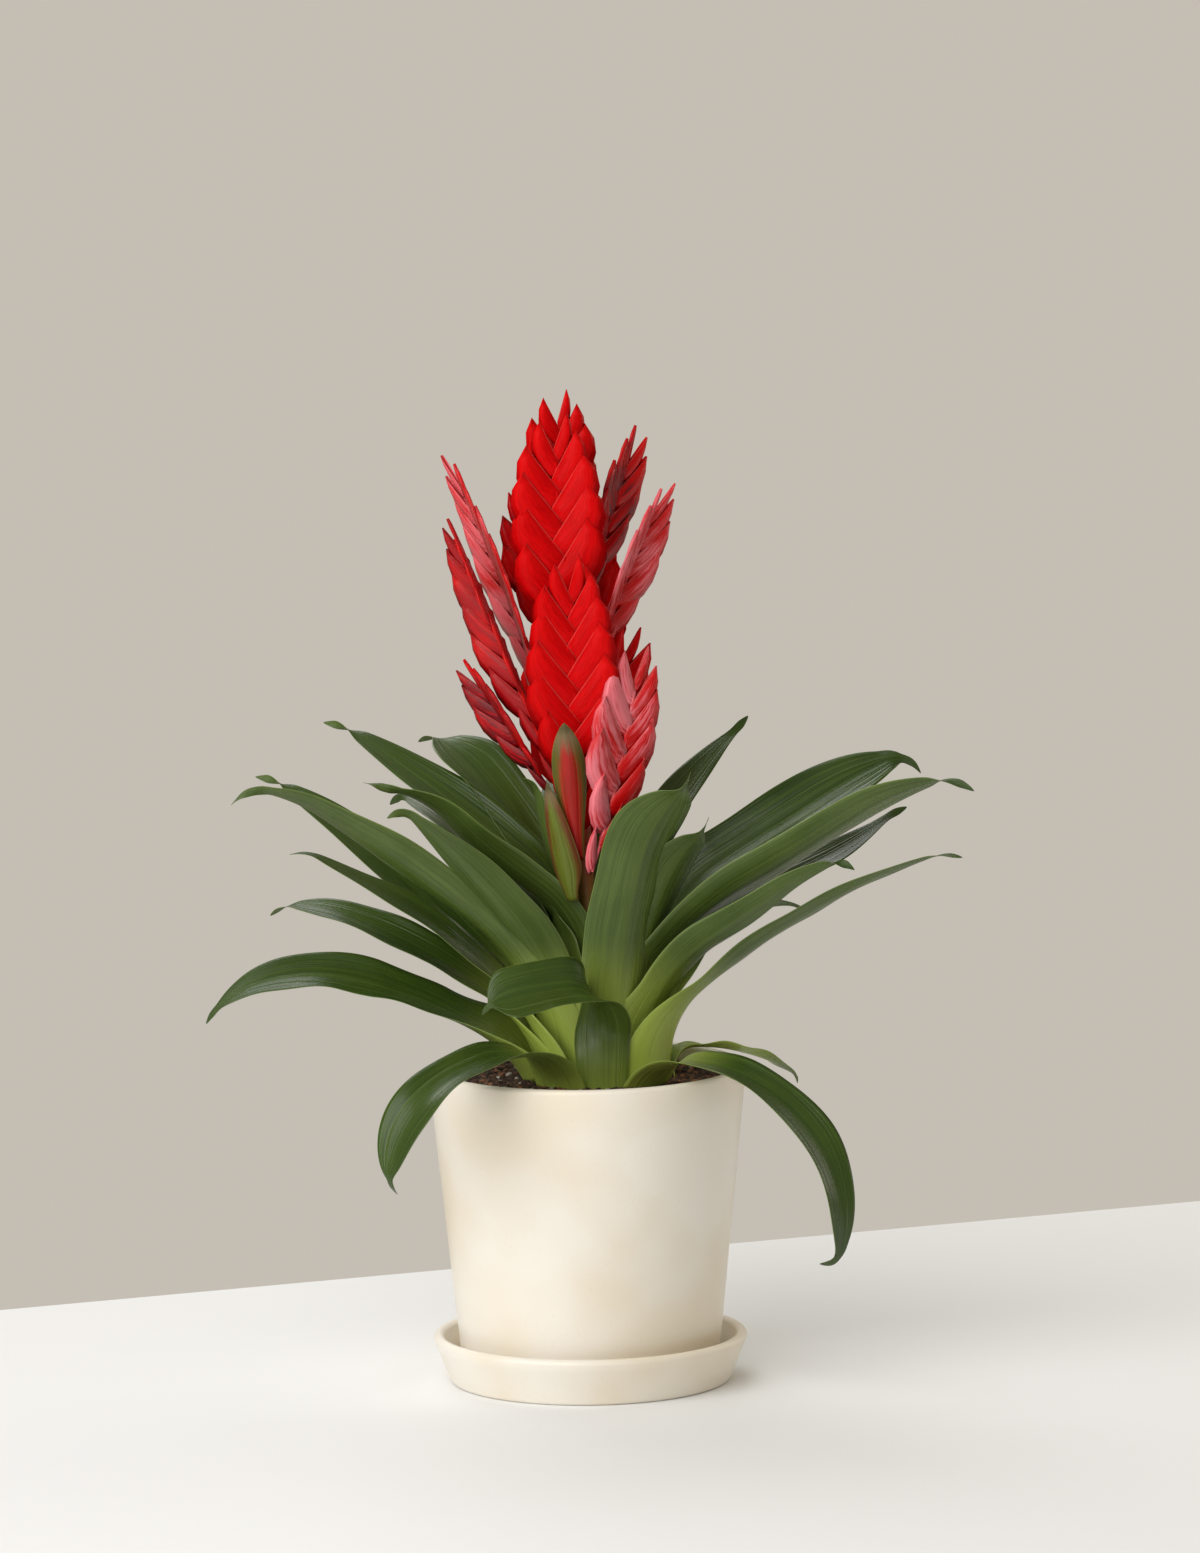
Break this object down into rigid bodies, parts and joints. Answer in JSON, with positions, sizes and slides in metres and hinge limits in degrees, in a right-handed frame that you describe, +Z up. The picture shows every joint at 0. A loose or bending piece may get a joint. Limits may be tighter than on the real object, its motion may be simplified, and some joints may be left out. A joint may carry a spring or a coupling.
{
  "type": "potted bromeliad",
  "caption": "Potted bromeliad: arching strap leaves and a branched head of flat red bract spikes, in a tapered cream glazed pot on a matching saucer.",
  "frame": {"origin": "middle of the saucer's foot, on the surface that it stands on", "axes": "+Z up along the pot's axis, -Y towards the side with the tall front spikes and the folded front leaf, +X to that viewer's right"},
  "size_m": [0.3841, 0.2939, 0.4971],
  "materials": {
    "glaze": "satin",
    "mix": "matte",
    "leaf": "satin",
    "stalk": "satin",
    "bract": "satin",
    "guard_bract": "satin"
  },
  "bodies": {
    "root": {"saucer": "glaze", "pot": "glaze", "flower_stem": "stalk", "potting_mix": "mix", "spike_top": "bract", "spike_front_upper": "bract", "spike_front_lower": "bract", "spike_right_front": "bract", "spike_left_upper": "bract", "spike_left_middle": "bract", "spike_left_lower": "bract", "spike_right_upper": "bract", "spike_right_middle": "bract", "spike_right_lower": "bract", "spike_back_upper": "bract", "spike_back_middle": "bract", "spike_back_lower": "bract", "guard_bract_front": "guard_bract", "guard_bract_left": "guard_bract", "guard_bract_right": "guard_bract", "leaf_back_inner": "leaf", "leaf_left_inner": "leaf", "leaf_centre_short": "leaf", "leaf_right_tall": "leaf", "leaf_back_left_tall": "leaf", "leaf_back_tall": "leaf", "leaf_front_right": "leaf", "leaf_left_upper": "leaf", "leaf_back_right_tall": "leaf", "leaf_front_broad": "leaf", "leaf_left_tall": "leaf", "leaf_back_left": "leaf", "leaf_right_upper": "leaf", "leaf_left_front": "leaf", "leaf_left_behind": "leaf", "leaf_back_right": "leaf", "leaf_right_long": "leaf", "leaf_left_long": "leaf", "leaf_right_arched": "leaf", "leaf_left_third": "leaf", "leaf_right_curled": "leaf", "leaf_right_behind": "leaf", "leaf_back_left_low": "leaf", "leaf_left_second": "leaf", "leaf_back_right_low": "leaf", "leaf_front_folded": "leaf", "leaf_right_low": "leaf", "leaf_back_low": "leaf", "leaf_right_back_droop": "leaf", "leaf_left_low": "leaf", "leaf_left_droop": "leaf", "leaf_right_droop": "leaf"}
  },
  "joints": []
}
